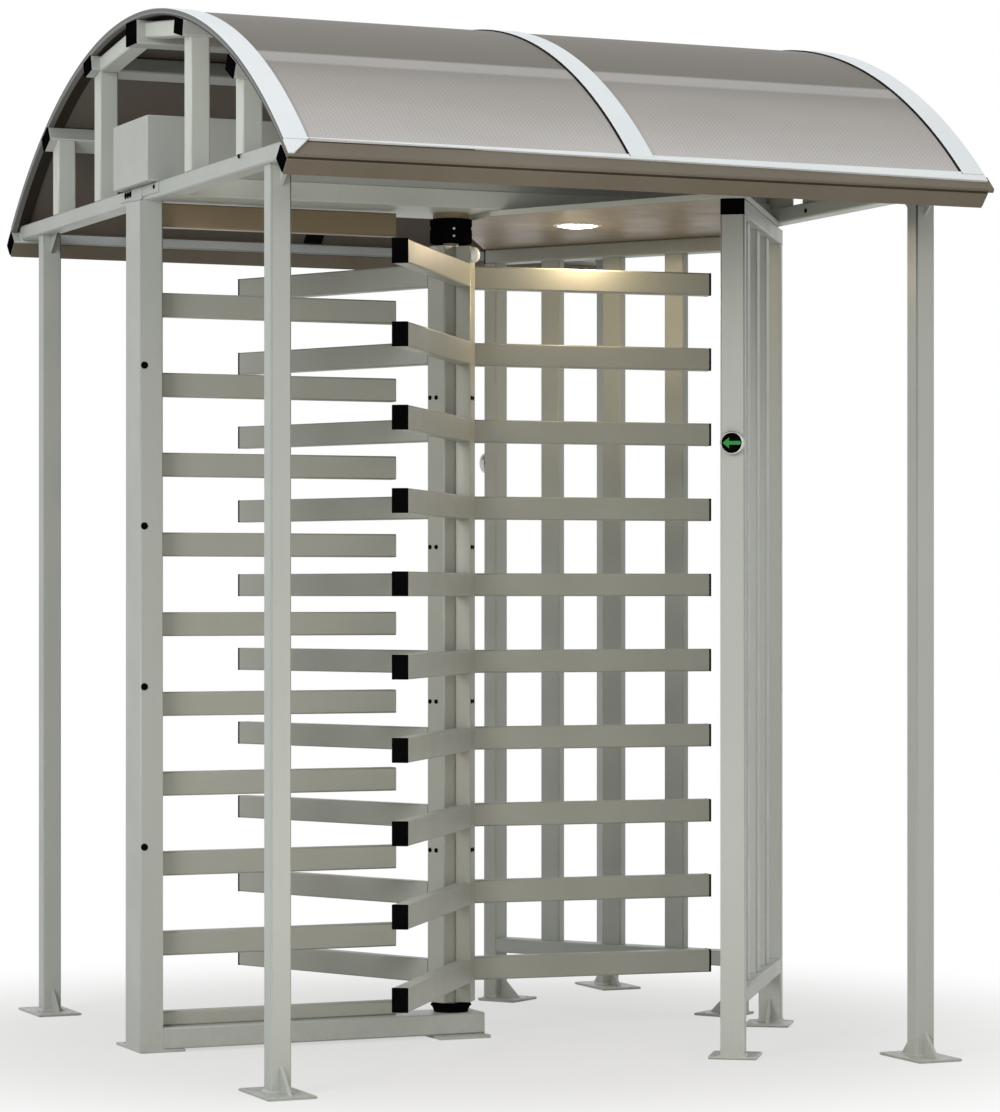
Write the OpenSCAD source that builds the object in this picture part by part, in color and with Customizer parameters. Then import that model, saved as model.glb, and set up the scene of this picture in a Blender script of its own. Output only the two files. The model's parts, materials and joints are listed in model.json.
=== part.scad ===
// Full-height turnstile under a small barrel-vault canopy.
// Frame: millimetres, +Z up, origin on the floor on the rotor's axis.
// +X points from the fixed comb towards the cage, and people walk through along Y.

/* [Rotor] */
// Underside of the lowest rotor bar above the floor
first_bar_z = 138; // [125:1:150]
// Spacing of the bars, centre to centre
bar_pitch = 200; // [180:1:205]
// Number of bars on each wing
bar_count = 10; // [6:1:10]
// Height of a bar's tube
bar_h = 60; // [40:1:80]
// Thickness of a bar's tube
bar_t = 40; // [25:1:45]
// Distance from the rotor's axis to the end of a bar
wing_r = 732; // [600:1:740]
// Direction of the first wing at rest, measured from +X
wing_angle = -5; // [-40:1:40]
// Length of the plastic cap on the end of a bar
bar_cap_len = 6; // [3:1:12]

/* [Comb] */
// Distance from the rotor's axis to the outer face of the comb post
comb_reach = 860; // [820:1:950]
// Width of the comb post, along X
comb_post_w = 60; // [50:1:80]
// Depth of the comb post, along Y
comb_post_d = 120; // [100:1:140]
// Distance from the rotor's axis to the tips of the comb bars
comb_tip = 160; // [130:1:200]
// Height of the rail on the floor under the comb
base_rail_h = 54; // [40:1:60]

/* [Cage] */
// Turn of each cage panel away from straight ahead
cage_angle = 34; // [32:1:36]
// Distance from the rotor's axis to the middle of a cage panel
cage_r = 785; // [785:1:800]
// Length of a cage panel, post to post
cage_len = 820; // [760:1:820]
// How far a panel's middle lies towards the comb's opposite side
cage_shift = 20; // [10:1:25]
// Number of upright bars in a panel, posts left out
cage_bars = 3; // [2:1:4]
// Width of a cage post and of the rails, through the panel
cage_depth = 60; // [50:1:60]
// Width of a cage post, along the panel
cage_post_w = 40; // [30:1:50]
// Height of the top and bottom rails
cage_rail_h = 40; // [30:1:50]
// Underside of the bottom rail above the floor
cage_rail_z = 135; // [110:1:160]

/* [Head] */
// Gap between the highest rotor bar and the top of the cage
head_gap = 117; // [112:1:200]
// Thickness of the ceiling tray over the cage
ceiling_t = 15; // [10:1:25]
// Height of the header channel above the ceiling tray
header_h = 47; // [40:1:60]
// Width of the drive housing, along Y
drive_w = 280; // [200:1:320]
// Height of the drive housing
drive_h = 163; // [120:1:185]
// Diameter of the top bearing's housing
top_bearing_d = 110; // [90:1:116]

/* [Canopy] */
// Length of the purlins, along X
canopy_len = 1802; // [1795:1:1900]
// Distance of the purlins' middle from the rotor's axis
canopy_mid = 35; // [33:1:40]
// How far the roof sheet is shifted towards the cage on the purlins
sheet_shift = 5; // [0:1:12]
// Overhang of the purlins beyond the middle of the canopy posts
canopy_overhang = 62; // [60:1:70]
// Spacing of the canopy posts along Y, centre to centre
canopy_post_y = 1838; // [1700:1:1900]
// Side of a canopy post's square tube
canopy_post_w = 50; // [40:1:60]
// Radius of the outside of the roof
roof_r = 1643; // [1620:1:1660]
// Height of the roof's crown above the top of the cage
roof_rise = 478; // [470:1:490]
// Angle from the crown to the first purlins
inner_purlin_angle = 13.5; // [13:0.1:14]
// Angle from the crown to the second purlins
middle_purlin_angle = 28.2; // [28:0.1:29]
// Angle from the crown to the eave purlins
eave_purlin_angle = 43.5; // [43:0.1:44]
// Thickness of the roof sheet
sheet_t = 10; // [6:1:16]
// Width of the cover strips on the arches
strip_w = 60; // [40:1:80]

/* [Hidden] */
$fn = 64;

paint = "#b0b4ae";
shade_paint = "#9a9c94";
black = "#15171a";
bronze = "#9c938c";
trim = "#e6eeee";
eave_brown = "#6f665c";

plate_t = 8;
plate_w = 120;
plate_len = 200;
anchor_r = 7;
anchor_edge = 20;
gusset_t = 8;
gusset_h = 60;
gusset_reach = 60;
top_gusset_h = 50;
top_gusset_reach = 60;

// Rotor: three uprights stand round a three-sided core and each carries one wing.
upright_w = 60;
core_in = 18;
running_gap = 5;
journal_r = 20;
journal_gap = 0.05;
cup_r = 53;
cup_h = 22;
journal_end_gap = 0.5;
cup_floor = 4;
base_rail_z = plate_t;
cup_z = base_rail_z + base_rail_h;
upright_z = cup_z + cup_h + running_gap;
post_top = first_bar_z + (bar_count - 1) * bar_pitch + bar_h + head_gap;
ceiling_top = post_top + ceiling_t;
top_bearing_h = 82;
top_bearing_z = ceiling_top - top_bearing_h;
top_bearing_roof = 8;
upright_top = top_bearing_z - running_gap;

// Comb: its bars lie half a pitch below the rotor's.
comb_bar_z = first_bar_z - bar_pitch / 2;
base_rail_end = 70;

// Cage
cage_bar_w = 60;
cage_bar_t = 30;
cage_gap = (cage_len - 2 * cage_post_w - cage_bars * cage_bar_w) / (cage_bars + 1);
cage_y0 = cage_shift - cage_len / 2;
cage_y1 = cage_shift + cage_len / 2;
cage_out = cage_r + cage_depth / 2;
cage_in = cage_r - cage_depth / 2;
rail_cap_t = 4;
indicator_drop = 601;
indicator_z = post_top - indicator_drop;
indicator_r = 30;
indicator_t = 18;

// Head: the canopy's posts and the comb post rise a little above the cage.
frame_top = post_top + 8;
beam_h = 40;
beam_top = frame_top + beam_h;
mouth_x = top_bearing_d / 2 + 7;
header_lip = 4;
drive_z = beam_top;
drive_over = 28;
lamp_x = 360;
lamp_r = 58;
lamp_drop = 4;

// Canopy: the sheet lies on gaskets, and the gaskets lie on the purlins' outer corners.
canopy_x0 = canopy_mid - canopy_len / 2;
canopy_x1 = canopy_mid + canopy_len / 2;
roof_x0 = canopy_x0 + sheet_shift;
roof_x1 = canopy_x1 + sheet_shift;
post_shift = -2;
left_x = canopy_x0 + canopy_overhang + post_shift;
right_x = canopy_x1 - canopy_overhang + post_shift;
beam_out = 9;
beam_left_x = left_x - beam_out;
beam_right_x = right_x + beam_out;
inner_x0 = beam_left_x + canopy_post_w / 2;
inner_x1 = beam_right_x - canopy_post_w / 2;
roof_z = post_top + roof_rise - roof_r;
strip_t = 4;
gasket_t = 3;
gasket_w = 54;
sheet_out = roof_r - strip_t;
sheet_in = sheet_out - sheet_t;
steel_r = sheet_in - gasket_t;
profile_wall = 4;
profile_leg = 14;
end_gasket_w = 30;
purlin_w = 60;
purlin_h = 40;
crown_w = 80;
crown_h = 60;
eave_w = 50;
purlin_cap_t = 4;
rib_h = 40;
rib_drop = 32;
rib_r = steel_r - rib_drop;
purlin_span = 300;
eave_wall = 3;
eave_web = 1;
eave_lap = 22;
eave_groove = 8;
eave_slab_in = 26;
eave_slab_out = 30;
eave_slab_t = 11;
eave_run_on = 9;
sheet_lap = eave_slab_in + 1;
sheet_end = eave_purlin_angle - asin(sheet_lap / roof_r);
seam_x = 24;
sheet_gap = 6;
seat = 0.1;

// ---------- shared shapes ----------

module box(x0, x1, y0, y1, z0, z1) {
    translate([x0, y0, z0]) cube([x1 - x0, y1 - y0, z1 - z0]);
}

// A base plate with an anchor hole near each corner listed, as signs along X and Y.
module base_plate(x0, x1, y0, y1, corners = [[-1, -1], [-1, 1], [1, -1], [1, 1]]) {
    x = (x0 + x1) / 2;
    y = (y0 + y1) / 2;
    reach_x = (x1 - x0) / 2 - anchor_edge;
    reach_y = (y1 - y0) / 2 - anchor_edge;
    difference() {
        box(x0, x1, y0, y1, 0, plate_t);
        for (c = corners)
            translate([x + c[0] * reach_x, y + c[1] * reach_y, -1]) cylinder(r = anchor_r, h = plate_t + 2);
    }
}

// A triangular stiffener at x, from y towards y + reach, that rises from z (or hangs, if rise < 0).
module gusset(x, y, reach, z = plate_t, rise = gusset_h) {
    translate([x - gusset_t / 2, y, z])
        rotate([90, 0, 90])
            linear_extrude(gusset_t) polygon([[0, 0], [reach, 0], [0, rise]]);
}

// Places things in the front cage panel's frame: +X outwards, +Y along the panel from the outer post.
module front_panel() {
    rotate([0, 0, -cage_angle]) children();
}

module back_panel() {
    mirror([0, 1, 0]) front_panel() children();
}

// Places things round the roof's centre line at an angle from the crown, +Z outwards.
module on_arch(angle) {
    translate([0, 0, roof_z]) rotate([-angle, 0, 0]) children();
}

// Places things in the frame of wing number k: +X along the wing.
module on_wing(k) {
    rotate([0, 0, wing_angle + 120 * k]) children();
}

// ---------- comb side ----------

module comb_post() {
    color(paint) union() {
        box(-comb_reach, comb_post_w - comb_reach, -comb_post_d / 2, comb_post_d / 2, 0, frame_top);
        base_plate(-comb_reach, plate_w - comb_reach, -comb_post_d / 2, plate_len - comb_post_d / 2,
            [[-1, 1], [1, -1], [1, 1]]);
    }
}

module comb_bars() {
    color(paint) {
        for (k = [0:bar_count - 1]) {
            z0 = comb_bar_z + k * bar_pitch;
            box(comb_post_w - comb_reach, -comb_tip, -bar_t / 2, bar_t / 2, max(z0, cup_z), z0 + bar_h);
        }
        box(comb_post_w - comb_reach, -comb_tip, -bar_t / 2, bar_t / 2, frame_top - bar_h, frame_top);
    }
}

module base_rail() {
    color(paint)
        box(comb_post_w - comb_reach, base_rail_end, -comb_post_d / 2, comb_post_d / 2, base_rail_z, cup_z);
}

module rotor_foot() {
    color(paint) base_plate(-base_rail_end, base_rail_end, -plate_len / 2, plate_len / 2);
}

// ---------- bearings ----------

module bottom_bearing() {
    color(black) difference() {
        translate([0, 0, cup_z]) cylinder(r = cup_r, h = cup_h);
        translate([0, 0, cup_z + cup_floor]) cylinder(r = journal_r + journal_gap, h = cup_h);
    }
}

module top_bearing() {
    color(black) difference() {
        translate([0, 0, top_bearing_z]) cylinder(d = top_bearing_d, h = top_bearing_h);
        translate([0, 0, top_bearing_z - 1])
            cylinder(r = journal_r + journal_gap, h = top_bearing_h - top_bearing_roof + 1);
    }
}

// ---------- head ----------

// The header is a channel between the end beams. It carries the bearing and holds the drive.
module header_beam() {
    half = drive_w / 2 + header_lip;
    hold = drive_w / 2 + seat;
    color(paint) difference() {
        box(inner_x0, inner_x1, -half, half, ceiling_top, ceiling_top + header_h);
        box(inner_x0 - 1, inner_x1 + 1, -hold, hold, drive_z, drive_z + header_h);
    }
}

module drive_housing() {
    color(paint)
        box(beam_left_x - canopy_post_w / 2 - drive_over, inner_x1 - 8, -drive_w / 2, drive_w / 2,
            drive_z, drive_z + drive_h);
}

// The tray covers the cage from the outer posts to the rotor's bearing and stops at the end beam.
module ceiling_tray() {
    near = [cage_in, cage_y0];
    far = [cage_out, cage_y0];
    c = cos(cage_angle);
    s = sin(cage_angle);
    inner_corner = [near[0] * c + near[1] * s, near[1] * c - near[0] * s];
    outer_corner = [far[0] * c + far[1] * s, far[1] * c - far[0] * s];
    end_y = (cage_out - inner_x1 * c) / s;
    mouth = inner_corner * (mouth_x / inner_corner[0]);
    color(shade_paint)
        translate([0, 0, post_top + seat]) linear_extrude(ceiling_t - seat)
            difference() {
                polygon([
                    mouth, inner_corner, outer_corner, [inner_x1, -end_y],
                    [inner_x1, end_y], [outer_corner[0], -outer_corner[1]],
                    [inner_corner[0], -inner_corner[1]], [mouth[0], -mouth[1]]
                ]);
                translate([lamp_x, 0]) circle(r = lamp_r + 0.1);
            }
}

module ceiling_lamp() {
    color("#fff2d0")
        translate([lamp_x, 0, post_top - lamp_drop]) cylinder(r = lamp_r, h = ceiling_t + lamp_drop);
}

// ---------- cage ----------

// A cage post, flush with the outer end of its base plate, with a gusset towards the panel.
module cage_post(y_end, inward) {
    y_in = y_end + inward * cage_post_w;
    plate_end = y_end + inward * plate_w;
    color(paint) union() {
        box(cage_in, cage_out, min(y_end, y_in), max(y_end, y_in), 0, post_top - cage_rail_h);
        base_plate(cage_r - plate_w / 2, cage_r + plate_w / 2, min(y_end, plate_end), max(y_end, plate_end));
        gusset(cage_r, y_in, inward * gusset_reach);
    }
}

module cage_bars_set() {
    color(paint)
        for (k = [0:cage_bars - 1]) {
            y0 = cage_y0 + cage_post_w + cage_gap + k * (cage_bar_w + cage_gap);
            box(cage_r - cage_bar_t / 2, cage_r + cage_bar_t / 2, y0, y0 + cage_bar_w,
                cage_rail_z + cage_rail_h, post_top - cage_rail_h);
        }
}

module cage_bottom_rail() {
    color(paint)
        box(cage_in, cage_out, cage_y0 + cage_post_w, cage_y1 - cage_post_w,
            cage_rail_z, cage_rail_z + cage_rail_h);
}

module cage_top_rail() {
    color(paint)
        box(cage_in, cage_out, cage_y0 + rail_cap_t, cage_y1 - rail_cap_t,
            post_top - cage_rail_h, post_top);
}

module rail_caps() {
    color(black)
        for (y = [cage_y0, cage_y1 - rail_cap_t])
            box(cage_in, cage_out, y, y + rail_cap_t, post_top - cage_rail_h, post_top);
}

module cage_rail_caps() {
    front_panel() rail_caps();
    back_panel() rail_caps();
}

// A round signal lamp with a domed rim on the outer end of an outer post.
module indicator() {
    color(black)
        translate([cage_r, cage_y0, indicator_z]) rotate([90, 0, 0])
            rotate_extrude() polygon([
                [0, 0], [indicator_r, 0], [indicator_r, indicator_t * 0.4],
                [indicator_r * 0.8, indicator_t], [0, indicator_t]
            ]);
}

// ---------- canopy ----------

module canopy_post(x, y) {
    half = canopy_post_w / 2;
    color(paint) union() {
        box(x - half, x + half, y - half, y + half, 0, frame_top);
        base_plate(x - plate_w / 2, x + plate_w / 2, y - plate_len / 2, y + plate_len / 2);
        gusset(x, y + half, gusset_reach);
        gusset(x, y - half, -gusset_reach);
        gusset(x, y + half, top_gusset_reach, frame_top, -top_gusset_h);
        gusset(x, y - half, -top_gusset_reach, frame_top, -top_gusset_h);
    }
}

// Distance from the roof's centre line to the outer face of a purlin of width w.
function face_r(w) = sqrt(steel_r * steel_r - w * w / 4) - seat;

// A purlin of width w and height h under the sheet, from x0 to x1.
module purlin(angle, w, h, x0, x1) {
    on_arch(angle) translate([x0, -w / 2, face_r(w) - h]) cube([x1 - x0, w, h]);
}

// All the purlins, from x0 to x1.
module purlin_set(x0, x1) {
    purlin(0, crown_w, crown_h, x0, x1);
    for (a = [inner_purlin_angle, middle_purlin_angle]) {
        purlin(a, purlin_w, purlin_h, x0, x1);
        purlin(-a, purlin_w, purlin_h, x0, x1);
    }
    purlin(eave_purlin_angle, eave_w, purlin_h, x0, x1);
    purlin(-eave_purlin_angle, eave_w, purlin_h, x0, x1);
}

module purlins() {
    color(paint) purlin_set(canopy_x0 + purlin_cap_t, canopy_x1 - purlin_cap_t);
}

module purlin_caps() {
    color(black) {
        purlin_set(canopy_x0, canopy_x0 + purlin_cap_t);
        purlin_set(canopy_x1 - purlin_cap_t, canopy_x1);
    }
}

// Everything further out than a middle purlin's inner face, at an end of the canopy.
module above_purlin(angle) {
    on_arch(angle)
        translate([canopy_x0, -3 * purlin_w, face_r(purlin_w) - purlin_h - seat])
            cube([canopy_len, 6 * purlin_w, roof_r]);
}

// Everything beyond the near side of the purlin of width w at an angle.
module beyond_purlin(angle, w) {
    on_arch(angle)
        translate([canopy_x0, -w / 2 - seat, 0]) cube([canopy_len, roof_r, 2 * roof_r]);
}

// A horizontal beam along Y on the posts of one end, cut to fit against the eave purlins.
module end_beam(x) {
    half = canopy_post_w / 2;
    color(paint) difference() {
        intersection() {
            box(x - half, x + half, -roof_r, roof_r, frame_top, beam_top);
            translate([x, 0, roof_z]) rotate([0, 90, 0])
                cylinder(r = steel_r - 0.5, h = 2 * canopy_post_w, center = true, $fn = 180);
        }
        beyond_purlin(eave_purlin_angle, eave_w);
        mirror([0, 1, 0]) beyond_purlin(eave_purlin_angle, eave_w);
    }
}

// A piece between the crown purlin and the next one at the end x, from one radius to another.
module rib_part(x, r0, r1) {
    half = canopy_post_w / 2;
    difference() {
        on_arch(inner_purlin_angle / 2)
            translate([x - half, -purlin_span, r0]) cube([canopy_post_w, 2 * purlin_span, r1 - r0]);
        box(canopy_x0, canopy_x1, -purlin_span, crown_w / 2 + seat, 0, 2 * post_top);
        beyond_purlin(inner_purlin_angle, purlin_w);
    }
}

// Upright struts from an end beam to the four middle purlins, and a rib each side of the crown.
module struts(x) {
    half = canopy_post_w / 2;
    color(paint) {
        for (a = [inner_purlin_angle, middle_purlin_angle])
            for (side = [0, 1])
                mirror([0, side, 0]) {
                    y = (face_r(purlin_w) - purlin_h) * sin(a);
                    difference() {
                        box(x - half, x + half, y - half, y + half, beam_top, post_top + roof_rise);
                        above_purlin(a);
                    }
                }
        rib_part(x, rib_r - rib_h / 2, rib_r + rib_h / 2);
        mirror([0, 1, 0]) rib_part(x, rib_r - rib_h / 2, rib_r + rib_h / 2);
    }
}

// The eave trim's section in its purlin's frame: a slab on the purlin, a grooved skirt and a leg under.
module eave_section() {
    top = face_r(eave_w) + seat / 2;
    under = face_r(eave_w) - purlin_h - seat / 2 - eave_wall;
    edge = eave_w / 2 + seat / 2;
    translate([-eave_slab_in, top]) square([eave_slab_in + eave_slab_out, eave_slab_t]);
    translate([edge, under]) square([eave_web, top + 1 - under]);
    translate([edge, under]) square([eave_wall, top - eave_groove - under]);
    translate([-eave_lap, under]) square([eave_lap + edge + eave_wall, eave_wall]);
}

// The section ends at the purlin's caps, and its slab runs on past the sheet's far end.
module eave_back() {
    slab_z = face_r(eave_w) + seat / 2;
    slab_x = canopy_x1 - purlin_cap_t;
    color(eave_brown)
        on_arch(eave_purlin_angle) {
            translate([canopy_x0 + purlin_cap_t, 0, 0]) rotate([90, 0, 90])
                linear_extrude(canopy_len - 2 * purlin_cap_t) eave_section();
            box(slab_x, roof_x1 + eave_run_on, -eave_slab_in, eave_slab_out, slab_z, slab_z + eave_slab_t);
        }
}

module eave_front() {
    mirror([0, 1, 0]) eave_back();
}

// A piece of the barrel vault between two radii, along X from x0 to x1.
module vault(r_in, r_out, x0, x1, half_angle) {
    translate([x0, 0, roof_z])
        rotate([90, 0, 90])
            rotate([0, 0, 90 - half_angle])
                linear_extrude(x1 - x0)
                    intersection() {
                        difference() {
                            circle(r = r_out, $fn = 180);
                            circle(r = r_in, $fn = 180);
                        }
                        polygon([
                            [0, 0], [2 * r_out, 0],
                            [2 * r_out * cos(half_angle), 2 * r_out * sin(half_angle)],
                            [2 * r_out * cos(2 * half_angle), 2 * r_out * sin(2 * half_angle)]
                        ]);
                    }
}

module roof_sheet_left() {
    color(bronze)
        vault(sheet_in, sheet_out, roof_x0 + profile_wall, seam_x - sheet_gap / 2, sheet_end);
}

module roof_sheet_right() {
    color(bronze)
        vault(sheet_in, sheet_out, seam_x + sheet_gap / 2, roof_x1 - profile_wall, sheet_end);
}

// The cover strip of one end, folded round the sheet's edge. It starts at x and runs towards side.
module end_strip(x, side) {
    wall_x = x + side * profile_wall;
    leg_x = x + side * profile_leg;
    edge_x = x + side * strip_w;
    past_x = edge_x + side;
    difference() {
        vault(steel_r, roof_r, min(x, edge_x), max(x, edge_x), sheet_end);
        vault(sheet_in - seat, sheet_out, min(wall_x, past_x), max(wall_x, past_x), sheet_end + 1);
        vault(steel_r - 1, sheet_in, min(leg_x, past_x), max(leg_x, past_x), sheet_end + 1);
    }
}

module arch_strips() {
    color(trim) union() {
        end_strip(roof_x0, 1);
        end_strip(roof_x1, -1);
        vault(sheet_out, roof_r, seam_x - strip_w / 2, seam_x + strip_w / 2, sheet_end);
    }
}

// Rubber bands between the arches and the sheet, with a filler over each rib.
module arch_gaskets() {
    band_x1 = roof_x0 + profile_leg + end_gasket_w;
    color(black) {
        vault(steel_r, sheet_in - seat, seam_x - gasket_w / 2, seam_x + gasket_w / 2, sheet_end);
        for (x = [roof_x0 + profile_leg, roof_x1 - profile_leg - end_gasket_w])
            vault(steel_r, sheet_in - seat, x, x + end_gasket_w, sheet_end);
        for (x = [beam_left_x, beam_right_x])
            for (side = [0, 1])
                mirror([0, side, 0])
                    intersection() {
                        rib_part(x, rib_r + rib_h / 2 + seat, roof_r);
                        box(band_x1 + seat, roof_x1, 0, purlin_span, post_top, 2 * post_top);
                        translate([x, 0, roof_z]) rotate([0, 90, 0])
                            cylinder(r = sheet_in - seat, h = canopy_post_w + 1, center = true, $fn = 180);
                    }
    }
}

// ---------- rotor ----------

// The core: a three-sided shaft that turns on a journal at each end.
module rotor_core() {
    journal_top = ceiling_top - top_bearing_roof - journal_end_gap;
    journal_z = cup_z + cup_floor + journal_end_gap;
    color(shade_paint) union() {
        rotate([0, 0, wing_angle - 90])
            translate([0, 0, upright_z])
                cylinder(r = 2 * (core_in - seat), h = upright_top - upright_z, $fn = 3);
        translate([0, 0, journal_z]) cylinder(r = journal_r - 5, h = journal_top - journal_z);
        translate([0, 0, journal_z]) cylinder(r = journal_r, h = upright_z - journal_z);
        translate([0, 0, upright_top]) cylinder(r = journal_r, h = journal_top - upright_top);
    }
}

module rotor_uprights() {
    color(paint)
        for (k = [0:2])
            on_wing(k) box(-upright_w / 2, upright_w / 2, core_in, core_in + bar_t, upright_z, upright_top);
}

module wing_bars(k) {
    color(paint)
        on_wing(k)
            for (n = [0:bar_count - 1])
                box(upright_w / 2, wing_r - bar_cap_len, core_in, core_in + bar_t,
                    first_bar_z + n * bar_pitch, first_bar_z + n * bar_pitch + bar_h);
}

module wing_caps() {
    color(black)
        for (k = [0:2])
            on_wing(k)
                for (n = [0:bar_count - 1])
                    box(wing_r - bar_cap_len, wing_r, core_in, core_in + bar_t,
                        first_bar_z + n * bar_pitch, first_bar_z + n * bar_pitch + bar_h);
}

// ---------- assembly ----------

comb_post();
comb_bars();
base_rail();
rotor_foot();
bottom_bearing();
top_bearing();
header_beam();
drive_housing();
ceiling_tray();
ceiling_lamp();
front_panel() cage_post(cage_y0, 1);  // cage_post_front_outer
front_panel() cage_post(cage_y1, -1);  // cage_post_front_inner
back_panel() cage_post(cage_y1, -1);  // cage_post_back_inner
back_panel() cage_post(cage_y0, 1);  // cage_post_back_outer
front_panel() cage_bars_set();  // cage_bars_front
back_panel() cage_bars_set();  // cage_bars_back
front_panel() cage_bottom_rail();  // cage_bottom_rail_front
back_panel() cage_bottom_rail();  // cage_bottom_rail_back
front_panel() cage_top_rail();  // cage_top_rail_front
back_panel() cage_top_rail();  // cage_top_rail_back
cage_rail_caps();
front_panel() indicator();  // indicator_front
back_panel() indicator();  // indicator_back
canopy_post(left_x, -canopy_post_y / 2);  // canopy_post_front_left
canopy_post(right_x, -canopy_post_y / 2);  // canopy_post_front_right
canopy_post(left_x, canopy_post_y / 2);  // canopy_post_back_left
canopy_post(right_x, canopy_post_y / 2);  // canopy_post_back_right
end_beam(beam_left_x);  // end_beam_left
end_beam(beam_right_x);  // end_beam_right
struts(beam_left_x);  // struts_left
struts(beam_right_x);  // struts_right
purlins();
purlin_caps();
eave_front();
eave_back();
roof_sheet_left();
roof_sheet_right();
arch_strips();
arch_gaskets();
rotor_core();
rotor_uprights();
wing_bars(0);  // wing_bars_1
wing_bars(1);  // wing_bars_2
wing_bars(2);  // wing_bars_3
wing_caps();
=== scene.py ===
# %% [markdown]
# # A full-height turnstile under a barrel-vault canopy
# The real object is welded from square and flat steel tube, powder coated a pale grey-green, and bolted to the floor.
# The steel already exists as solids in real size. This lesson gives it soft tube corners, screws, seals and finishes.
# Everything is in metres: +Z is up, the rotor turns about the Z axis, and people walk through along Y.

# %% Load the frame
import json
import math

import bmesh
import bpy
from mathutils import Matrix, Vector

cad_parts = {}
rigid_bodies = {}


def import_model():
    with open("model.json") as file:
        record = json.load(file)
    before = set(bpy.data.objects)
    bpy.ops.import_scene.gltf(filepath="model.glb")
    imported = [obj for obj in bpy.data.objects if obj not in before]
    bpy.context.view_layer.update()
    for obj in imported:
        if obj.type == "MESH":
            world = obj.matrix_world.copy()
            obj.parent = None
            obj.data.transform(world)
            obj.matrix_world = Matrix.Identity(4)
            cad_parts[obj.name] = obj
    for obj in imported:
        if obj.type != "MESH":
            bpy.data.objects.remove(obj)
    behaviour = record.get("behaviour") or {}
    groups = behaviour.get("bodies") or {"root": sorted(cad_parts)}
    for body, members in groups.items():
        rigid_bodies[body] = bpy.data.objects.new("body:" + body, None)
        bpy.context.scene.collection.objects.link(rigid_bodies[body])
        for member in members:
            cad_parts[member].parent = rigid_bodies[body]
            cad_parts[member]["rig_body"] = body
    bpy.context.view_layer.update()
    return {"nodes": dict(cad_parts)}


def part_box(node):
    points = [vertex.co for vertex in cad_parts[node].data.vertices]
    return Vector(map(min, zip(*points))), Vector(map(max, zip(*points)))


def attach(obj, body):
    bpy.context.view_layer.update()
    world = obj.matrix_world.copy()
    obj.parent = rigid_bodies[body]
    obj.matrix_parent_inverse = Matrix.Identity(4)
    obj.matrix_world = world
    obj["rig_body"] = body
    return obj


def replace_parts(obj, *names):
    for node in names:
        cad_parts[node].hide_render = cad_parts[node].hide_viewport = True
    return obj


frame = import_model()
nodes = frame["nodes"]
print("solids in the frame:", len(nodes))

# %% [markdown]
# ## The camera
# The view is from standing height through a long lens, so upright tubes stay upright.
# A level camera with a little lens shift does that; tilting the camera would make the posts lean together.

# %% Camera
camera_data = bpy.data.cameras.new("camera")
camera_data.lens = 120.84
camera_data.sensor_width = 36.0
camera_data.shift_x = -0.0423
camera_data.shift_y = 0.0353
camera = bpy.data.objects.new("camera", camera_data)
camera.location = (-3.689, -8.955, 1.1405)
camera.rotation_euler = (math.radians(90), 0, math.radians(-23.864))
bpy.context.scene.collection.objects.link(camera)
bpy.context.scene.camera = camera
bpy.context.scene.view_settings.view_transform = "Standard"
print("camera at", tuple(camera.location))

# %% [markdown]
# ## The studio
# The light is that of an open hall: a bright ceiling, a dimmer horizon and a broad soft lamp on the left.
# A ceiling light falls under the roof only at an angle, so bars grow darker towards the canopy, as they should.
# A fill lamp on the right and a low one in front soften the shadows, and a small bounce lamp near the floor lights
# the steel under the roof, as pale ground would. The glow of the lamp in the cage's ceiling is a very wide spot that
# shines down only, because a point lamp would burn a bright disc into the tray just above it.
# The camera, gloss and glass see plain white instead, so the background stays white.

# %% Helpers for colours and light
def colour(red, green, blue):
    """A colour written 0 to 255, as a screen shows it, turned into the linear values that a shader wants."""
    linear = [((c / 255 + 0.055) / 1.055) ** 2.4 if c > 10 else c / 255 / 12.92 for c in (red, green, blue)]
    return (*linear, 1.0)


def ramp(tree, value, low, high, start=0.0, end=1.0):
    """Maps a value from low..high onto start..end, held at the ends."""
    node = tree.nodes.new("ShaderNodeMapRange")
    node.inputs["From Min"].default_value = low
    node.inputs["From Max"].default_value = high
    node.inputs["To Min"].default_value = start
    node.inputs["To Max"].default_value = end
    tree.links.new(value, node.inputs["Value"])
    return node.outputs["Result"]


def calculate(tree, operation, first, second=None):
    """One sum on values: each is a number or an output."""
    node = tree.nodes.new("ShaderNodeMath")
    node.operation = operation
    for socket, value in zip(node.inputs, (first, second)):
        if value is None:
            continue
        if isinstance(value, (int, float)):
            socket.default_value = value
        else:
            tree.links.new(value, socket)
    return node.outputs[0]


def seen_directly(tree):
    """One for rays from the camera, gloss and glass, and nothing for the light that falls on things."""
    path = tree.nodes.new("ShaderNodeLightPath")
    total = path.outputs["Is Camera Ray"]
    for kind in ("Is Glossy Ray", "Is Transmission Ray"):
        total = calculate(tree, "MAXIMUM", total, path.outputs[kind])
    return total


print("mid grey in linear light:", round(colour(128, 128, 128)[0], 3))

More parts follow.
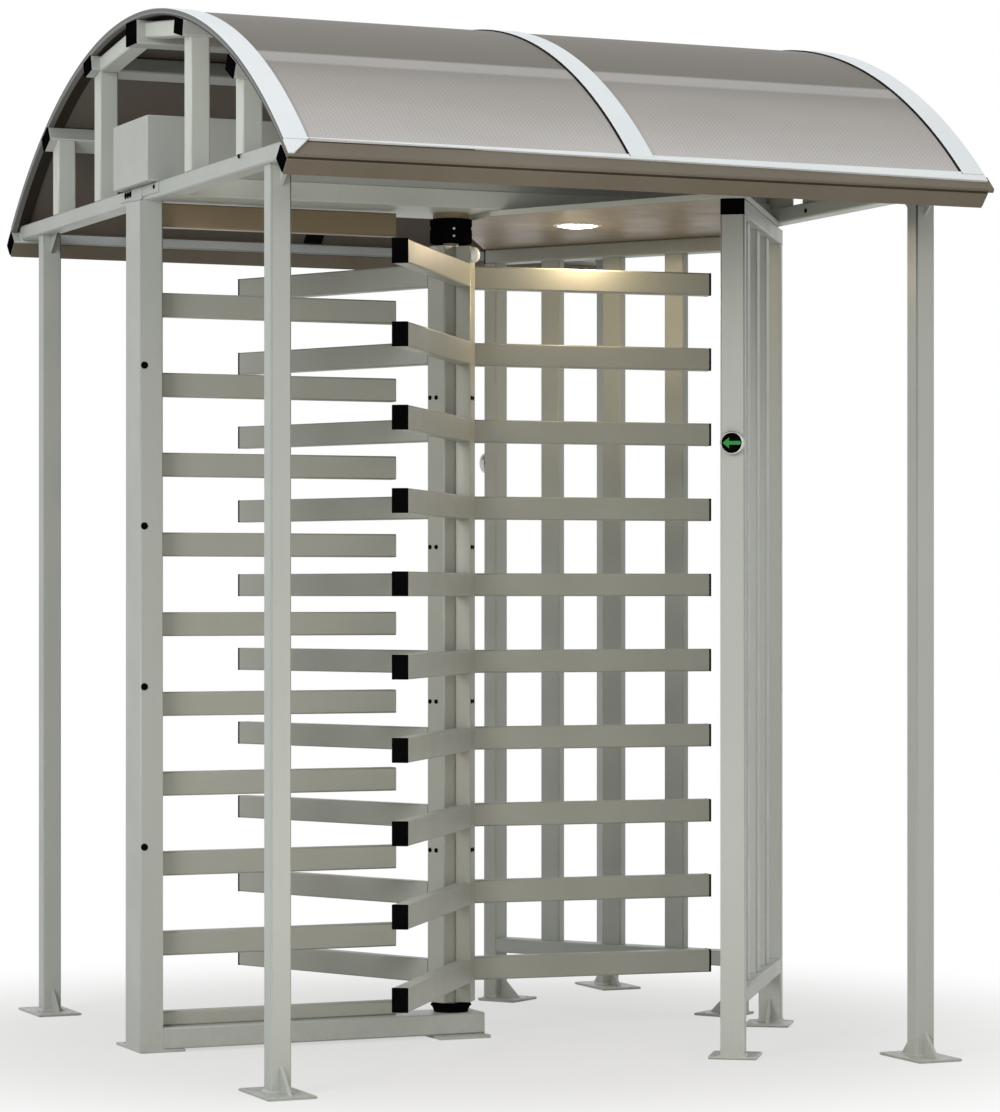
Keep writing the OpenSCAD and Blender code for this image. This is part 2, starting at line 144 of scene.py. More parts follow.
# %% World
HORIZON_LEVEL, CEILING_LEVEL = 0.22, 0.95
world = bpy.data.worlds.new("studio")
bpy.context.scene.world = world
world.use_nodes = True
world_tree = world.node_tree
world_tree.nodes.clear()
sky_place = world_tree.nodes.new("ShaderNodeTexCoord")
sky_height = world_tree.nodes.new("ShaderNodeSeparateXYZ")
sky_level = ramp(world_tree, sky_height.outputs["Z"], 0.0, 0.9, HORIZON_LEVEL, CEILING_LEVEL)
sky = world_tree.nodes.new("ShaderNodeBackground")
sky.inputs["Color"].default_value = colour(248, 249, 252)
white = world_tree.nodes.new("ShaderNodeBackground")
white.inputs["Color"].default_value = (1, 1, 1, 1)
white.inputs["Strength"].default_value = 1.0
choose = world_tree.nodes.new("ShaderNodeMixShader")
world_out = world_tree.nodes.new("ShaderNodeOutputWorld")
world_tree.links.new(sky_place.outputs["Generated"], sky_height.inputs[0])
world_tree.links.new(sky_level, sky.inputs["Strength"])
world_tree.links.new(seen_directly(world_tree), choose.inputs[0])
world_tree.links.new(sky.outputs[0], choose.inputs[1])
world_tree.links.new(white.outputs[0], choose.inputs[2])
world_tree.links.new(choose.outputs[0], world_out.inputs[0])
print("world:", world.name)

# %% Lamps
def soft_lamp(name, place, target, size, watts, tint):
    """A square lamp of a given size at a place, facing a target."""
    data = bpy.data.lights.new(name, "AREA")
    data.size = size
    data.energy = watts
    data.color = colour(*tint)[:3]
    lamp = bpy.data.objects.new(name, data)
    lamp.location = place
    lamp.rotation_euler = (Vector(target) - Vector(place)).to_track_quat("-Z", "Y").to_euler()
    bpy.context.scene.collection.objects.link(lamp)
    return lamp


soft_lamp("key", place=(-8.0, -5.0, 4.0), target=(0, 0, 1.2), size=4.0, watts=345, tint=(252, 254, 255))
soft_lamp("fill", place=(2.5, -8.5, 5.0), target=(0, 0, 1.0), size=3.0, watts=50, tint=(255, 245, 228))
soft_lamp("low", place=(-1.5, -8.0, 0.6), target=(0.2, 0, 2.1), size=3.0, watts=24, tint=(255, 246, 232))
bounce = soft_lamp("bounce", place=(-0.3, -2.2, 0.2), target=(0.35, -0.3, 2.13), size=1.6, watts=12,
                   tint=(255, 245, 230))
bounce.visible_camera = False

glow_data = bpy.data.lights.new("ceiling_glow", "SPOT")
glow_data.spot_size = math.radians(179)
glow_data.spot_blend = 0.1
glow_data.energy = 4.6
glow_data.shadow_soft_size = 0.03
glow_data.color = colour(255, 229, 188)[:3]
glow = bpy.data.objects.new("ceiling_glow", glow_data)
glow.location = (0.36, -0.055, 2.093)
bpy.context.scene.collection.objects.link(glow)

# %% [markdown]
# ## The floor
# The floor is a pale matte sheet that catches the shadows near the feet.
# Further out it fades into the white of the backdrop, so no horizon line is left. A curved backdrop could do that
# too, but it would stand in the way of views from behind.

# %% Floor
FLOOR_RADIUS = 14.0
FADE_START, FADE_END = 0.9, 2.3
floor_mesh = bpy.data.meshes.new("floor")
floor_edit = bmesh.new()
bmesh.ops.create_circle(floor_edit, cap_ends=True, segments=64, radius=FLOOR_RADIUS)
floor_edit.to_mesh(floor_mesh)
floor_edit.free()
floor = bpy.data.objects.new("floor", floor_mesh)
bpy.context.scene.collection.objects.link(floor)

floor_paint = bpy.data.materials.new("studio_floor")
floor_paint.use_nodes = True
floor_tree = floor_paint.node_tree
floor_tree.nodes.clear()
floor_place = floor_tree.nodes.new("ShaderNodeTexCoord")
floor_reach = floor_tree.nodes.new("ShaderNodeVectorMath")
floor_reach.operation = "LENGTH"
floor_fade = ramp(floor_tree, floor_reach.outputs["Value"], FADE_START, FADE_END, 0.6, 1.0)
floor_fade.node.interpolation_type = "SMOOTHSTEP"
floor_seen = calculate(floor_tree, "MULTIPLY", floor_fade, seen_directly(floor_tree))
floor_matte = floor_tree.nodes.new("ShaderNodeBsdfDiffuse")
floor_matte.inputs["Color"].default_value = (0.54, 0.525, 0.49, 1)
floor_white = floor_tree.nodes.new("ShaderNodeEmission")
floor_white.inputs["Color"].default_value = (1, 1, 1, 1)
floor_mix = floor_tree.nodes.new("ShaderNodeMixShader")
floor_out = floor_tree.nodes.new("ShaderNodeOutputMaterial")
floor_tree.links.new(floor_place.outputs["Object"], floor_reach.inputs[0])
floor_tree.links.new(floor_seen, floor_mix.inputs[0])
floor_tree.links.new(floor_matte.outputs[0], floor_mix.inputs[1])
floor_tree.links.new(floor_white.outputs[0], floor_mix.inputs[2])
floor_tree.links.new(floor_mix.outputs[0], floor_out.inputs[0])
floor_mesh.materials.append(floor_paint)
print("floor radius:", FLOOR_RADIUS, "white beyond", FADE_END)

# %% [markdown]
# ## Finishes
# A finish could be an image wrapped round the piece, but seams and stretching would show. So each one is a small
# network of nodes that reads Object coordinates and is pinned to the piece.
# One helper starts a finish with its shader; small helpers add a noise, a tint between two colours, and a bump.

# %% Helpers for finishes
def start_finish(name, roughness, metallic=0.0):
    """A new material, its node tree, its shader and the Object coordinates that drive it."""
    finish = bpy.data.materials.new(name)
    finish.use_nodes = True
    tree = finish.node_tree
    shader = tree.nodes["Principled BSDF"]
    shader.inputs["Roughness"].default_value = roughness
    shader.inputs["Metallic"].default_value = metallic
    place = tree.nodes.new("ShaderNodeTexCoord").outputs["Object"]
    return finish, tree, shader, place


def noise(tree, place, scale, detail=2.0, stretch=(1, 1, 1)):
    """A soft random pattern. Stretch below 1 draws it out along that axis."""
    mapping = tree.nodes.new("ShaderNodeMapping")
    mapping.inputs["Scale"].default_value = stretch
    cloud = tree.nodes.new("ShaderNodeTexNoise")
    cloud.inputs["Scale"].default_value = scale
    cloud.inputs["Detail"].default_value = detail
    tree.links.new(place, mapping.inputs["Vector"])
    tree.links.new(mapping.outputs[0], cloud.inputs["Vector"])
    return cloud.outputs["Fac"]


def blend(tree, amount, first, second):
    """A colour between two: each is a colour, or the output of another blend."""
    mix = tree.nodes.new("ShaderNodeMix")
    mix.data_type = "RGBA"
    tree.links.new(amount, mix.inputs["Factor"])
    for socket, value in ((mix.inputs["A"], first), (mix.inputs["B"], second)):
        if isinstance(value, tuple):
            socket.default_value = value
        else:
            tree.links.new(value, socket)
    return mix.outputs["Result"]


def bump(tree, shader, height, strength, distance):
    """Turns a pattern into small hills on the surface."""
    node = tree.nodes.new("ShaderNodeBump")
    node.inputs["Strength"].default_value = strength
    node.inputs["Distance"].default_value = distance
    tree.links.new(height, node.inputs["Height"])
    tree.links.new(node.outputs[0], shader.inputs["Normal"])


print("finish helpers are ready")

# %% [markdown]
# ### Powder coat
# Powder is sprayed on dry and baked, so it flows into a skin with a faint orange peel. One flat colour would look
# like plain plastic, so a slow noise gives the slight unevenness of a big job, a stretched one the trace of rain,
# and dust gathers low down.
# The steel has four tones: most of it, the warmer ceiling tray, the duller rotor and comb, and the pale header. The
# duller one is a darker copy of the same coat, painted shade under the canopy; the pale one is a paler copy, painted
# light on the header, the left struts, the right end beam, the tray's edges and the right end plate. The tray's tone
# also stands as painted shade on the comb's top bar and on the bearing's spacer.

# %% Powder coat
COAT_ROUGHNESS = 0.42
DUST_REACH = 0.12
RAIN_TRACE = colour(128, 124, 112)
FLOOR_DUST = colour(150, 140, 122)


def powder_coat(name, tint, shade):
    """Painted steel between two close tones."""
    finish, tree, shader, place = start_finish(name, COAT_ROUGHNESS)
    slow = ramp(tree, noise(tree, place, 1.7, 3.0), 0.3, 0.7)
    base = blend(tree, slow, colour(*shade), colour(*tint))
    rain = ramp(tree, noise(tree, place, 26.0, 3.0, (1, 1, 0.05)), 0.56, 0.78, 0.0, 0.06)
    rained = blend(tree, rain, base, RAIN_TRACE)
    height = tree.nodes.new("ShaderNodeSeparateXYZ")
    tree.links.new(place, height.inputs[0])
    low = ramp(tree, height.outputs["Z"], 0.0, DUST_REACH, 0.22, 0.0)
    speck = ramp(tree, noise(tree, place, 60.0, 4.0), 0.36, 0.66)
    dusty = blend(tree, calculate(tree, "MULTIPLY", low, speck), rained, FLOOR_DUST)
    tree.links.new(dusty, shader.inputs["Base Color"])
    patchy = ramp(tree, noise(tree, place, 9.0), 0.3, 0.7, COAT_ROUGHNESS - 0.05, COAT_ROUGHNESS + 0.07)
    tree.links.new(patchy, shader.inputs["Roughness"])
    orange_peel = noise(tree, place, 620.0, 1.0)
    bump(tree, shader, orange_peel, 0.12, 0.0004)
    return finish


light_coat = powder_coat("powder_coat", (179, 183, 177), (174, 178, 171))
# The tray's own warmer tone, which also paints shade on the comb's top bar and the bearing's spacer.
tray_coat_and_painted_shade = powder_coat("tray_coat_and_painted_shade", (140, 124, 98), (132, 117, 92))
# A darker copy of the coat: painted shade on the rotor and comb under the canopy.
painted_shade_coat = powder_coat("painted_shade_coat", (167, 168, 158), (161, 162, 152))
# A paler copy of the coat: painted light on the header, left struts, right end beam, tray edges and end plate.
painted_light_coat = powder_coat("painted_light_coat", (206, 210, 201), (201, 205, 196))
# In this table the darker coat is painted shade and the paler coat painted light.
COATS = {"ceiling_tray": tray_coat_and_painted_shade, "header_beam": painted_light_coat, "struts_left": painted_light_coat,
         "end_beam_right": painted_light_coat, "comb_bars": painted_shade_coat,
         "wing_bars_1": painted_shade_coat, "wing_bars_2": painted_shade_coat, "wing_bars_3": painted_shade_coat,
         "rotor_uprights": painted_shade_coat}
print("finishes:", light_coat.name, tray_coat_and_painted_shade.name, painted_shade_coat.name, painted_light_coat.name)

# %% [markdown]
# ### Black plastic, zinc and rubber
# Tube caps and bearing housings are moulded in black plastic with a fine grain. The rims of the round lamps and the
# bearing's small screws are zinc plated, and the seals are matte rubber, a little dusty.
# Zinc could be one flat grey metal, but its tiny crystals break up the shine. The plastic has no gloss of its own,
# because even a little of it turns a black face grey where it looks towards the lamp.

# %% Plastic, zinc, rubber
DUST_LIFT = 10
CRYSTAL_SHADE = 26


def moulded_plastic(name, tint, roughness=0.5, grain=900.0, gloss=0.0):
    """A grained plastic or rubber, a little paler where dust lies."""
    finish, tree, shader, place = start_finish(name, roughness)
    shader.inputs["Specular IOR Level"].default_value = gloss
    dust = ramp(tree, noise(tree, place, 14.0, 3.0), 0.45, 0.75, 0.0, 0.35)
    dusty = colour(*[c + DUST_LIFT for c in tint])
    tree.links.new(blend(tree, dust, colour(*tint), dusty), shader.inputs["Base Color"])
    bump(tree, shader, noise(tree, place, grain, 2.0), 0.2, 0.0003)
    return finish


def zinc_plate(name, tint):
    """A dull metal with a fine pattern of crystals."""
    finish, tree, shader, place = start_finish(name, 0.34, metallic=0.9)
    crystal = ramp(tree, noise(tree, place, 320.0, 2.0), 0.4, 0.6)
    darker = colour(*[c - CRYSTAL_SHADE for c in tint])
    tree.links.new(blend(tree, crystal, colour(*tint), darker), shader.inputs["Base Color"])
    bump(tree, shader, noise(tree, place, 500.0), 0.1, 0.0002)
    return finish


black_plastic = moulded_plastic("black_plastic", (9, 9, 10))
rubber_seal = moulded_plastic("rubber_seal", (34, 33, 31), 0.72, 400.0, 0.02)
zinc = zinc_plate("zinc", (206, 206, 200))
print("finishes:", black_plastic.name, rubber_seal.name, zinc.name)

# %% [markdown]
# ### Roof sheet
# The roof is a bronze multiwall plastic sheet: two thin skins with fine ribs between them, which run along the arch.
# Its colour holds painted light and shade: a painted pale line where the lit purlin shows through, painted shade
# over the crown, and painted light near the eaves, where skylight gets in.
# Bands cut by height would widen towards the crown, so the angle round the arch comes from the arctangent of the
# place, and the bands follow the curve.
# The underside sees no sky, so the same sheet is painted a deep brown from below, as painted shade.

# %% Roof sheet
STRIP_THICKNESS = 0.004
SHEET_THICKNESS = 0.010
GASKET_THICKNESS = 0.003
ROOF_RADIUS = 1.643
SHEET_OUT = ROOF_RADIUS - STRIP_THICKNESS
SHEET_IN = SHEET_OUT - SHEET_THICKNESS
STEEL_RADIUS = SHEET_IN - GASKET_THICKNESS
PURLIN_ANGLE = 28.2
EAVE_ANGLE = 43.5
RIB_PITCH = 0.0105
WEAVE_ANGLE = 0.42
roof_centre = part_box("arch_strips")[1].z - ROOF_RADIUS


def arch_place(tree, place):
    """The angle from the crown in degrees, the place along X, and the distance from the roof's axis."""
    parts = tree.nodes.new("ShaderNodeSeparateXYZ")
    tree.links.new(place, parts.inputs[0])
    across = calculate(tree, "ABSOLUTE", parts.outputs["Y"])
    above = calculate(tree, "SUBTRACT", parts.outputs["Z"], roof_centre)
    turn = calculate(tree, "ARCTAN2", across, above)
    square = calculate(tree, "ADD", calculate(tree, "POWER", across, 2.0), calculate(tree, "POWER", above, 2.0))
    return calculate(tree, "MULTIPLY", turn, 180 / math.pi), parts.outputs["X"], calculate(tree, "SQRT", square)


def near(tree, value, middle, half_width, soft):
    """One where a value is near a middle, and nothing further away."""
    away = calculate(tree, "ABSOLUTE", calculate(tree, "SUBTRACT", value, middle))
    return ramp(tree, away, half_width - soft, half_width + soft, 1.0, 0.0)


def sheet_weave(tree, angle, along):
    """The fine dotted diagonals that the ribs of the two skins make together."""
    rib = calculate(tree, "SINE", calculate(tree, "MULTIPLY", along, 2 * math.pi / RIB_PITCH))
    cell = calculate(tree, "SINE", calculate(tree, "MULTIPLY", angle, 2 * math.pi / WEAVE_ANGLE))
    return rib, calculate(tree, "MULTIPLY", rib, cell)


def roof_outside(name):
    """From above, in painted light and shade: darker at the crown, a pale line at the purlin, paler at the eave."""
    finish, tree, shader, place = start_finish(name, 0.5)
    angle, along, _ = arch_place(tree, place)
    # The angles below are degrees from the crown, in the order that the painted light and shade follow to the eave.
    low = blend(tree, ramp(tree, angle, 29.2, 32.5), colour(150, 145, 138), colour(172, 167, 161))
    lower = blend(tree, ramp(tree, angle, 32.5, 42.5), low, colour(208, 205, 201))
    tone = blend(tree, ramp(tree, angle, 28.6, 29.4), colour(120, 115, 106), lower)
    shown = blend(tree, near(tree, angle, PURLIN_ANGLE + 0.2, 1.1, 0.25), tone, colour(182, 179, 174))
    rib, woven = sheet_weave(tree, angle, along)
    cloud = ramp(tree, noise(tree, place, 5.0, 4.0, (0.4, 1, 1)), 0.3, 0.7, 0.0, 0.14)
    clouded = blend(tree, cloud, shown, colour(110, 104, 96))
    lined = blend(tree, ramp(tree, woven, -1.0, 1.0, 0.0, 0.2), clouded, colour(104, 98, 90))
    tree.links.new(lined, shader.inputs["Base Color"])
    bump(tree, shader, rib, 0.25, 0.0006)
    shader.inputs["Specular IOR Level"].default_value = 0.2
    return finish


def roof_inside(name):
    """The sheet from below, one deep brown of painted shade, with the same weave."""
    finish, tree, shader, place = start_finish(name, 0.6)
    angle, along, _ = arch_place(tree, place)
    rib, woven = sheet_weave(tree, angle, along)
    slow = ramp(tree, noise(tree, place, 1.2), 0.3, 0.7)
    shown = blend(tree, slow, colour(104, 97, 88), colour(116, 108, 99))
    lined = blend(tree, ramp(tree, woven, -1.0, 1.0, 0.0, 0.3), shown, colour(78, 72, 65))
    tree.links.new(lined, shader.inputs["Base Color"])
    bump(tree, shader, rib, 0.25, 0.0006)
    shader.inputs["Specular IOR Level"].default_value = 0.1
    return finish


roof_finish = roof_outside("roof_sheet")
roof_under = roof_inside("roof_sheet_underside")
print("roof centre height:", round(roof_centre, 4))

# %% [markdown]
# ### Trim, eave and lamp
# The cover strips are white coated aluminium. Seen from the end they are a bare grey profile on a seal that is grey
# behind and painted black in front as painted shade. The layers of that end could be separate thin pieces, but they
# would lie less than a millimetre apart, so one finish draws them by their distance from the roof's axis.
# The eave trim is a brown-grey coated profile whose groove holds a darker strip of painted shade, and the signal's
# arrow is green.
# The ceiling lamp has a frosted lens with a warm light of its own.

# %% Trim, eave, lamp
def coated_strip(name, tint, shade, roughness, gloss=0.3):
    """A smooth coated metal between two close tones, with a little grime."""
    finish, tree, shader, place = start_finish(name, roughness)
    shader.inputs["Specular IOR Level"].default_value = gloss
    slow = ramp(tree, noise(tree, place, 3.0, 3.0), 0.35, 0.65)
    base = blend(tree, slow, colour(*shade), colour(*tint))
    grime = ramp(tree, noise(tree, place, 34.0, 4.0), 0.6, 0.8, 0.0, 0.12)
    tree.links.new(blend(tree, grime, base, colour(*[c * 3 // 4 for c in shade])), shader.inputs["Base Color"])
    bump(tree, shader, noise(tree, place, 520.0, 1.0), 0.08, 0.0003)
    return finish


def profile_end(name):
    """The end face of the strips: a pale outer lip, the grey cut profile, and the seal under it, in painted shade in
    front.
    """
    finish, tree, shader, place = start_finish(name, 0.5)
    shader.inputs["Specular IOR Level"].default_value = 0.2
    _, _, reach = arch_place(tree, place)
    fold = near(tree, reach, SHEET_IN + 0.0035, 0.0010, 0.0004)
    metal = blend(tree, fold, colour(112, 114, 112), colour(150, 150, 147))
    lip = ramp(tree, reach, ROOF_RADIUS - 0.0018, ROOF_RADIUS - 0.0012)
    lipped = blend(tree, lip, metal, colour(186, 190, 190))
    across = tree.nodes.new("ShaderNodeSeparateXYZ")
    tree.links.new(place, across.inputs[0])
    # The seal darkens towards the front: painted shade.
    seal = blend(tree, ramp(tree, across.outputs["Y"], -0.2, 0.3), colour(40, 40, 41), colour(118, 116, 113))
    sealed = blend(tree, ramp(tree, reach, SHEET_IN, SHEET_IN + 0.0004), seal, lipped)
    speck = ramp(tree, noise(tree, place, 160.0, 3.0), 0.4, 0.7, 0.0, 0.2)
    tree.links.new(blend(tree, speck, sealed, colour(88, 88, 86)), shader.inputs["Base Color"])
    return finish


white_trim = coated_strip("white_trim", (240, 245, 246), (234, 240, 241), 0.4)
strip_end = profile_end("strip_end")
brown_channel = coated_strip("brown_gutter", (124, 116, 102), (114, 106, 93), 0.5, 0.15)
# The groove's dark finish is painted shade.
groove_painted_shade = coated_strip("groove_painted_shade", (66, 61, 53), (56, 52, 45), 0.7, 0.05)
signal_green = coated_strip("signal_green", (46, 150, 72), (34, 128, 58), 0.4)

lamp_lens, lens_tree, lens_shader, lens_place = start_finish("lamp_lens", 0.5)
lens_frost = ramp(lens_tree, noise(lens_tree, lens_place, 240.0), 0.3, 0.7)
lens_glow = blend(lens_tree, lens_frost, colour(255, 222, 168), colour(255, 232, 190))
lens_tree.links.new(lens_glow, lens_shader.inputs["Base Color"])
lens_tree.links.new(lens_glow, lens_shader.inputs["Emission Color"])
lens_shader.inputs["Emission Strength"].default_value = 42.0
print("finishes:", white_trim.name, strip_end.name, brown_channel.name, signal_green.name, lamp_lens.name)

# %% [markdown]
# ## Tubes with soft corners
# Rolled steel tube has corners of a few millimetres, and their thin highlights make a box look like tube.
# A Bevel modifier could round them, but it gives a tube's corner and a plate's edge the same width. So a copy of each
# solid is merged and its flat triangles joined, then its sharp edges are bevelled in two widths: long edges are tube
# corners, short ones belong to plates and ends.

# %% Helpers for rounding
def add_object(name, edit, finish, node, smooth_above=None):
    """Turns an edit into an object with a finish, which rides on the same body as a solid."""
    mesh = bpy.data.meshes.new(name)
    edit.to_mesh(mesh)
    edit.free()
    mesh.materials.append(finish)
    piece = bpy.data.objects.new(name, mesh)
    bpy.context.scene.collection.objects.link(piece)
    if smooth_above is not None:
        for face in mesh.polygons:
            face.use_smooth = True
        mesh.set_sharp_from_angle(angle=math.radians(smooth_above))
    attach(piece, nodes[node]["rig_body"])
    return piece


def sharp_edges(edit, degrees):
    """The edges whose two faces turn by more than an angle."""
    return [e for e in edit.edges if len(e.link_faces) == 2 and e.calc_face_angle(0) > math.radians(degrees)]


def bevel_edges(edit, edges, width, segments=1):
    """Rounds edges to a width and smooths the new faces."""
    made = bmesh.ops.bevel(edit, geom=edges, offset=width, offset_type="OFFSET", affect="EDGES",
                           segments=segments, profile=0.5, material=-1, clamp_overlap=True)
    for face in made["faces"]:
        face.smooth = True


def rounded(node, corner, finish, end=0.0008, long_edge=0.12):
    """A copy of a solid with round tube corners, shown in place of the solid."""
    edit = bmesh.new()
    edit.from_mesh(nodes[node].data)
    bmesh.ops.remove_doubles(edit, verts=edit.verts, dist=1e-5)
    bmesh.ops.dissolve_limit(edit, angle_limit=math.radians(1), verts=edit.verts, edges=edit.edges)
    bevel_edges(edit, [e for e in sharp_edges(edit, 30) if e.calc_length() > long_edge], corner, 2)
    bevel_edges(edit, sharp_edges(edit, 50), end)
    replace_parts(add_object(node + "_coated", edit, finish, node), node)


def second_finish(node, finish, picked):
    """Gives another finish to the faces of a coated piece for which a test holds."""
    mesh = bpy.data.objects[node + "_coated"].data
    mesh.materials.append(finish)
    for face in mesh.polygons:
        face.material_index = 1 if picked(face) else 0


print("rounding is ready")

# %% Tubes
TUBE_CORNERS = {
    "comb_post": 0.005, "comb_bars": 0.004, "base_rail": 0.004, "header_beam": 0.004, "drive_housing": 0.003,
    "ceiling_tray": 0.001, "cage_post_front_outer": 0.004, "cage_post_front_inner": 0.004,
    "cage_post_back_inner": 0.004, "cage_post_back_outer": 0.004, "cage_bars_front": 0.004,
    "cage_bars_back": 0.004, "cage_bottom_rail_front": 0.004, "cage_bottom_rail_back": 0.004,
    "cage_top_rail_front": 0.004, "cage_top_rail_back": 0.004, "canopy_post_front_left": 0.005,
    "canopy_post_front_right": 0.005, "canopy_post_back_left": 0.005, "canopy_post_back_right": 0.005,
    "end_beam_left": 0.004, "end_beam_right": 0.004, "struts_left": 0.004, "struts_right": 0.004,
    "purlins": 0.004, "rotor_uprights": 0.004, "wing_bars_1": 0.004, "wing_bars_2": 0.004, "wing_bars_3": 0.004,
}
TOP_BAR_FROM = 2.05
TRAY_FLAT = 0.7
for node, corner in TUBE_CORNERS.items():
    rounded(node, corner, COATS.get(node, light_coat))
# The comb's top bar takes the tray's darker brown tone, in part painted shade under the header.
second_finish("comb_bars", tray_coat_and_painted_shade, lambda face: face.center.z > TOP_BAR_FROM)
# The tray's folded edges take the paler coat, painted light.
second_finish("ceiling_tray", painted_light_coat, lambda face: abs(face.normal.z) <= TRAY_FLAT)
coated_faces = sum(len(o.data.polygons) for o in bpy.data.objects if o.name.endswith("_coated"))
print("rounded:", len(TUBE_CORNERS), "faces:", coated_faces)

# %% [markdown]
# ## Black end plugs
# Plastic plugs close the tube ends. They are moulded with small round edges that catch a thin line of light.
# The plugs could be modelled again, but the solids have the right shape, so a copy only gets those round edges. None
# of their edges counts as a tube's corner.

# %% End plugs
PLUGS = ("cage_rail_caps", "purlin_caps", "wing_caps")
PLUG_EDGE = 0.0012
for node in PLUGS:
    rounded(node, PLUG_EDGE, black_plastic, end=PLUG_EDGE, long_edge=math.inf)
print("plugs for:", PLUGS)

# %% [markdown]
# ## The arched roof
# A sheet bent to a circle is a section swept round the roof's axis, so each arched piece is one section and one spin.
# A flat sheet could be bent by a modifier instead, but the spin gives an even, smooth arc of an exact radius.
# Faces are then sorted by the way they look: out, in, or along the roof.

# %% Arched pieces
ARC_STEPS = 96
EAVE_SETBACK = 0.027
eave_angle = math.radians(EAVE_ANGLE)
sheet_half = eave_angle - math.asin(EAVE_SETBACK / ROOF_RADIUS)


def arched(node, suffix, corners, finishes):
    """A section of (x, radius) corners spun over the roof, with a finish outside, inside and at the sides."""
    edit = bmesh.new()
    section = edit.faces.new([edit.verts.new((x, 0, roof_centre + r)) for x, r in corners])
    middle = (0, 0, roof_centre)
    bmesh.ops.rotate(edit, verts=edit.verts, cent=middle, matrix=Matrix.Rotation(-sheet_half, 3, "X"))
    bmesh.ops.spin(edit, geom=[section, *section.edges, *section.verts], cent=middle, axis=(1, 0, 0),
                   dvec=(0, 0, 0), angle=2 * sheet_half, steps=ARC_STEPS, use_duplicate=False)
    bmesh.ops.recalc_face_normals(edit, faces=edit.faces)
    outside, inside, side = finishes
    piece = add_object(node + suffix, edit, outside, node, smooth_above=35)
    piece.data.materials.append(inside)
    piece.data.materials.append(side)
    for face in piece.data.polygons:
        outwards = Vector((0, face.center.y, face.center.z - roof_centre)).normalized()
        looks = face.normal.dot(outwards)
        face.material_index = 0 if looks > 0.5 else 1 if looks < -0.5 else 2
    return piece


print("half angle of the sheet:", round(math.degrees(sheet_half), 2))

# %% Roof sheets
for node in ("roof_sheet_left", "roof_sheet_right"):
    low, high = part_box(node)
    sheet = arched(node, "_curved", [(low.x, SHEET_IN), (high.x, SHEET_IN), (high.x, SHEET_OUT), (low.x, SHEET_OUT)],
                   (roof_finish, roof_under, roof_under))
    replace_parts(sheet, node)
print("faces of each sheet:", len(sheet.data.polygons))

# %% [markdown]
# ### Cover strips and seals
# At each end a folded profile wraps the sheet's edge; a flat strip covers the middle seam.
# A plain box section would do for a flat strip, but the folded one shows its lips at the end. Their long edges are
# slightly broken, and a rubber bead seals the strip to the sheet.

# %% Cover strips
STRIP = 0.060
BROKEN = 0.001
SEAM_X = 0.024
WEB = 0.004
LOWER_LIP = 0.014
strip_low, strip_high = (corner.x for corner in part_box("arch_strips"))
seam_low, seam_high = SEAM_X - STRIP / 2, SEAM_X + STRIP / 2


def end_section(x, side):
    """The section of the profile at one end, from the sheet's edge at x, running towards side."""
    return [(x, STEEL_RADIUS), (x, ROOF_RADIUS - BROKEN), (x + side * BROKEN, ROOF_RADIUS),
            (x + side * (STRIP - BROKEN), ROOF_RADIUS), (x + side * STRIP, ROOF_RADIUS - BROKEN),
            (x + side * STRIP, SHEET_OUT), (x + side * WEB, SHEET_OUT), (x + side * WEB, SHEET_IN),
            (x + side * LOWER_LIP, SHEET_IN), (x + side * LOWER_LIP, STEEL_RADIUS)]


middle_section = [(seam_low, SHEET_OUT), (seam_high, SHEET_OUT), (seam_high, ROOF_RADIUS - BROKEN),
                  (seam_high - BROKEN, ROOF_RADIUS), (seam_low + BROKEN, ROOF_RADIUS),
                  (seam_low, ROOF_RADIUS - BROKEN)]
end_finishes = (white_trim, strip_end, strip_end)
strips = [arched("arch_strips", "_left", end_section(strip_low, 1), end_finishes),
          arched("arch_strips", "_right", end_section(strip_high, -1), end_finishes),
          arched("arch_strips", "_middle", middle_section, (white_trim,) * 3)]
for strip in strips:
    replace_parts(strip, "arch_strips")
for name, x in (("middle", seam_low), ("right", strip_high - STRIP)):
    bead = [(x - 0.005, SHEET_OUT - 0.0005), (x + 0.0005, SHEET_OUT - 0.0005), (x + 0.0005, SHEET_OUT + 0.0032),
            (x - 0.002, SHEET_OUT + 0.0032), (x - 0.0045, SHEET_OUT + 0.0018)]
    arched("arch_strips", "_bead_" + name, bead, (rubber_seal,) * 3)
print("strips from", round(strip_low, 3), "to", round(strip_high, 3))

# %% [markdown]
# ### Gaskets under the sheet
# Rubber bands lie between sheet and steel. The middle ones are brown with dust under the crown and stay black near
# the eaves; those at the two ends are dark brown. Their solids are right, so they only need this finish, which tells
# the bands apart by their place along the roof.

# %% Gaskets
MIDDLE_X = 0.04


def gasket_rubber(name):
    """Matte rubber whose dust depends on the place under the roof."""
    finish, tree, shader, place = start_finish(name, 0.8)
    shader.inputs["Specular IOR Level"].default_value = 0.05
    angle, along, _ = arch_place(tree, place)
    dust = ramp(tree, noise(tree, place, 30.0, 3.0), 0.35, 0.7)
    brown = blend(tree, dust, colour(84, 77, 68), colour(98, 91, 82))
    inner = blend(tree, ramp(tree, angle, 34.5, 35.5), brown, colour(14, 14, 14))
    from_middle = calculate(tree, "ABSOLUTE", calculate(tree, "SUBTRACT", along, MIDDLE_X))
    at_ends = ramp(tree, from_middle, 0.3, 0.32)
    tree.links.new(blend(tree, at_ends, inner, colour(50, 45, 40)), shader.inputs["Base Color"])
    return finish


gasket_finish = gasket_rubber("gasket_rubber")
print("finish:", gasket_finish.name)

